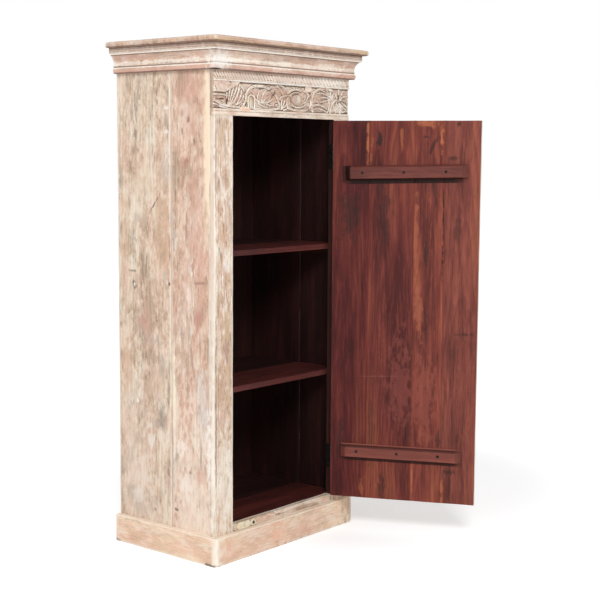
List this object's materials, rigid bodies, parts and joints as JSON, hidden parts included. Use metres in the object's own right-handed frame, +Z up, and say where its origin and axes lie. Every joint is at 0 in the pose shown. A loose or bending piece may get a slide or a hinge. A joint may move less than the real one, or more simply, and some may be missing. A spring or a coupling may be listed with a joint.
{
  "type": "single door cabinet",
  "caption": "Tall old-wood cabinet: limewashed planks, moulded cornice, carved frieze, mitred plinth, shelves and a plank door on butt hinges with a turn button.",
  "frame": {"origin": "on the floor, at mid width, in the plane of the face frame's front", "axes": "+X to the right seen from the front, +Y to the back, +Z up"},
  "size_m": [0.7637, 0.8265, 1.5],
  "materials": {
    "limewashed_wood": "worn white and tan limewash over open-grained wood, matt",
    "dark_inside_wood": "dark red-brown stain, low sheen",
    "oiled_door_wood": "red-brown stained and oiled planks, satin; the door's outer face is limewashed",
    "hinge_iron": "blackened iron, dull",
    "screw_steel": "darkened steel",
    "button_metal": "worn pale brass under old limewash"
  },
  "bodies": {
    "carcass": {"plinth_front": "limewashed_wood", "plinth_left": "limewashed_wood", "plinth_right": "limewashed_wood", "side_left_front": "limewashed_wood", "side_left_rear": "limewashed_wood", "side_right_front": "limewashed_wood", "side_right_rear": "limewashed_wood", "back_plank_1": "limewashed_wood", "back_plank_2": "limewashed_wood", "back_plank_3": "limewashed_wood", "back_plank_4": "limewashed_wood", "threshold": "limewashed_wood", "stile_left": "limewashed_wood", "stile_right": "limewashed_wood", "frieze_carved": "limewashed_wood", "top_rail": "limewashed_wood", "cornice_front": "limewashed_wood", "cornice_left": "limewashed_wood", "cornice_right": "limewashed_wood", "top_front": "limewashed_wood", "top_middle": "limewashed_wood", "top_rear": "limewashed_wood", "floor_front": "dark_inside_wood", "floor_rear": "dark_inside_wood", "floor_cleat_left": "dark_inside_wood", "floor_cleat_right": "dark_inside_wood", "shelf_lower_front": "dark_inside_wood", "shelf_lower_rear": "dark_inside_wood", "shelf_lower_cleat_left": "dark_inside_wood", "shelf_lower_cleat_right": "dark_inside_wood", "shelf_upper_front": "dark_inside_wood", "shelf_upper_rear": "dark_inside_wood", "shelf_upper_cleat_left": "dark_inside_wood", "shelf_upper_cleat_right": "dark_inside_wood", "hinge_upper_frame_leaf": "hinge_iron", "hinge_upper_pin": "hinge_iron", "hinge_lower_frame_leaf": "hinge_iron", "hinge_lower_pin": "hinge_iron", "hinge_upper_frame_screws": "screw_steel", "hinge_lower_frame_screws": "screw_steel", "turn_button_screw": "screw_steel", "turn_button_washer": "screw_steel"},
    "door": {"door_plank_1": "oiled_door_wood", "door_plank_2": "oiled_door_wood", "door_plank_3": "oiled_door_wood", "door_plank_4": "oiled_door_wood", "door_batten_upper": "oiled_door_wood", "door_batten_lower": "oiled_door_wood", "batten_screws_upper": "screw_steel", "batten_screws_lower": "screw_steel", "hinge_upper_door_leaf": "hinge_iron", "hinge_lower_door_leaf": "hinge_iron", "hinge_upper_door_screws": "screw_steel", "hinge_lower_door_screws": "screw_steel"},
    "turn_button": {"turn_button": "button_metal"}
  },
  "joints": [
    {"name": "door_swing", "type": "hinge", "parent": "carcass", "child": "door", "pos_m": [0.228, -0.004, 0.7], "axis": [0, 0, 1], "range_deg": [-115, 62]},
    {"name": "turn_button_turn", "type": "hinge", "parent": "carcass", "child": "turn_button", "pos_m": [-0.145, -0.003, 0.095], "axis": [0, 1, 0], "range_deg": [0, 180]}
  ]
}
